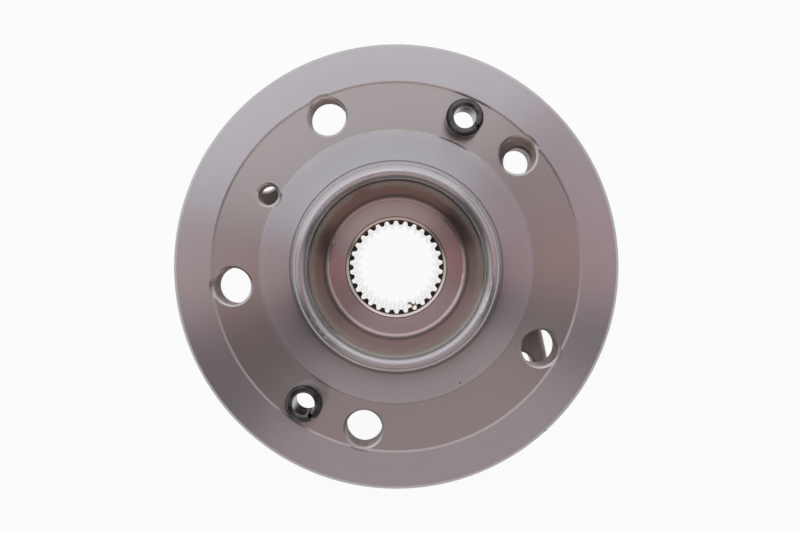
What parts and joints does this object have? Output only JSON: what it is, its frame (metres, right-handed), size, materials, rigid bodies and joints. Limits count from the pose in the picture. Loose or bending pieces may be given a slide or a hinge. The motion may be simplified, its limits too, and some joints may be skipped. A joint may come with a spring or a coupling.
{
  "type": "wheel hub bearing",
  "caption": "Driven wheel hub bearing unit: flanged hub with pilot spigot, nut cup and splined bore, turning on two ball rows in a flanged outer ring.",
  "frame": {"origin": "on the axis of rotation, in the plane of the flange lands that the brake disc seats on", "axes": "+Z along the axis of rotation, out of the pilot spigot and towards the wheel; +X from the axis towards the middle of the wider pair of knuckle bolt holes; +Y along that pair"},
  "size_m": [0.151, 0.151, 0.0931],
  "materials": {
    "hub_steel": "fine turned, bare",
    "ring_steel": "forged and turned, bare",
    "race_steel": "ground",
    "ball_steel": "lapped",
    "cage_nylon": "moulded, glass filled",
    "seal_steel": "pressed sheet",
    "seal_rubber": "moulded",
    "encoder_rubber": "magnetised, smooth",
    "sleeve_steel": "black oxide"
  },
  "bodies": {
    "knuckle_side": {"outer_ring": "ring_steel", "outboard_seal_case": "seal_steel", "outboard_seal_lips": "seal_rubber", "inboard_seal_case": "seal_steel", "inboard_seal_lips": "seal_rubber"},
    "wheel_side": {"wheel_hub": "hub_steel", "inner_ring": "race_steel", "outboard_slinger": "seal_steel", "inboard_slinger": "seal_steel", "speed_encoder_ring": "encoder_rubber", "disc_sleeve_1": "sleeve_steel", "disc_sleeve_2": "sleeve_steel"},
    "outboard_ball_row": {"outboard_cage": "cage_nylon", "outboard_ball_01": "ball_steel", "outboard_ball_02": "ball_steel", "outboard_ball_03": "ball_steel", "outboard_ball_04": "ball_steel", "outboard_ball_05": "ball_steel", "outboard_ball_06": "ball_steel", "outboard_ball_07": "ball_steel", "outboard_ball_08": "ball_steel", "outboard_ball_09": "ball_steel", "outboard_ball_10": "ball_steel", "outboard_ball_11": "ball_steel", "outboard_ball_12": "ball_steel", "outboard_ball_13": "ball_steel", "outboard_ball_14": "ball_steel"},
    "inboard_ball_row": {"inboard_cage": "cage_nylon", "inboard_ball_01": "ball_steel", "inboard_ball_02": "ball_steel", "inboard_ball_03": "ball_steel", "inboard_ball_04": "ball_steel", "inboard_ball_05": "ball_steel", "inboard_ball_06": "ball_steel", "inboard_ball_07": "ball_steel", "inboard_ball_08": "ball_steel", "inboard_ball_09": "ball_steel", "inboard_ball_10": "ball_steel", "inboard_ball_11": "ball_steel", "inboard_ball_12": "ball_steel", "inboard_ball_13": "ball_steel", "inboard_ball_14": "ball_steel"}
  },
  "joints": [
    {"name": "hub_spin", "type": "hinge", "parent": "knuckle_side", "child": "wheel_side", "pos_m": [0, 0, 0], "axis": [0, 0, 1], "continuous": true},
    {"name": "outboard_row_spin", "type": "hinge", "parent": "knuckle_side", "child": "outboard_ball_row", "pos_m": [0, 0, -0.03], "axis": [0, 0, 1], "continuous": true},
    {"name": "inboard_row_spin", "type": "hinge", "parent": "knuckle_side", "child": "inboard_ball_row", "pos_m": [0, 0, -0.054], "axis": [0, 0, 1], "continuous": true}
  ],
  "couplings": [
    {"joint": "outboard_row_spin", "follows": "hub_spin", "ratio": 0.42216},
    {"joint": "inboard_row_spin", "follows": "hub_spin", "ratio": 0.42216}
  ]
}
